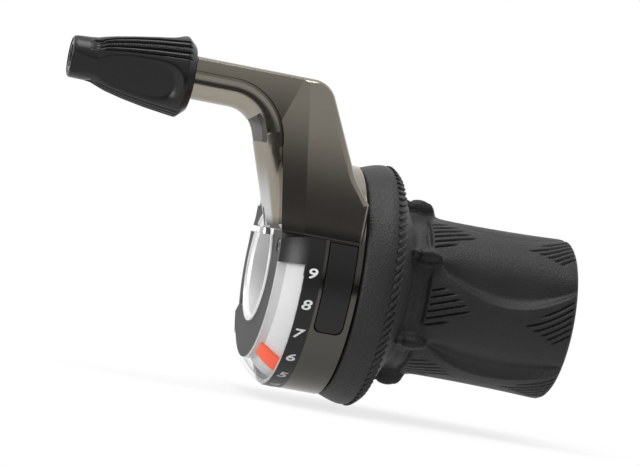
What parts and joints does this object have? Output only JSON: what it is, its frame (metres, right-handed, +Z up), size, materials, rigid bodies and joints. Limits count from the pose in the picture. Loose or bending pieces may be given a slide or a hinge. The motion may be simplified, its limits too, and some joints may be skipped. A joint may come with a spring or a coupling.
{
  "type": "twist grip shifter",
  "caption": "Bicycle twist grip shifter: clamp ring with cable tower and barrel adjuster, windowed dial with pointer, and a sculpted rubber grip that turns on the bar.",
  "frame": {"origin": "on the handlebar axis where the wall of the clamp bore starts, just inside its chamfered inboard edge", "axes": "+X outboard along the handlebar, +Z up the cable tower, -Y to the front where the dial is read"},
  "size_m": [0.1217, 0.0552, 0.0739],
  "materials": {
    "forged_alloy": "polished dark grey anodised forging",
    "clear_window": "clear polycarbonate",
    "black_plastic": "fine moulded satin black",
    "white_plastic": "satin white",
    "orange_plastic": "satin orange",
    "grip_rubber": "matte moulded rubber",
    "knob_plastic": "satin black moulding",
    "steel": "zinc-plated steel",
    "barrel_alloy": "turned grey anodised"
  },
  "bodies": {
    "housing": {"housing": "forged_alloy", "lens": "clear_window", "number_band": "black_plastic", "window_backing": "white_plastic", "mandrel": "black_plastic", "mandrel_screw_1": "steel", "mandrel_screw_2": "steel", "mandrel_screw_3": "steel", "face_screw_1": "steel", "face_screw_2": "steel", "thrust_washer": "steel", "retaining_clip": "steel", "clamp_bolt": "steel", "cable_guide": "white_plastic", "detent_spring": "steel"},
    "grip": {"grip_core": "black_plastic", "grip_rubber": "grip_rubber", "cable_spool": "black_plastic", "indicator_pointer": "orange_plastic"},
    "hatch": {"cable_hatch": "black_plastic"},
    "knob": {"adjuster_knob": "knob_plastic", "adjuster_spring": "steel"},
    "barrel": {"adjuster_barrel": "barrel_alloy"}
  },
  "joints": [
    {"name": "grip_twist", "type": "hinge", "parent": "housing", "child": "grip", "pos_m": [0, 0, 0], "axis": [1, 0, 0], "range_deg": [-61.2, 61.2], "deforming": ["detent_spring"]},
    {"name": "hatch_lift", "type": "slide", "parent": "housing", "child": "hatch", "axis": [0, -1, 0], "range_m": [0, 0.012]},
    {"name": "adjuster_turn", "type": "hinge", "parent": "housing", "child": "knob", "pos_m": [0, -0.017, 0.0374], "axis": [1, 0, 0], "range_deg": [0, 1440]},
    {"name": "adjuster_travel", "type": "slide", "parent": "knob", "child": "barrel", "axis": [-1, 0, 0], "range_m": [0, 0.0032]}
  ],
  "couplings": [
    {"joint": "adjuster_turn", "follows": "adjuster_travel", "rad_per_m": 7854}
  ]
}
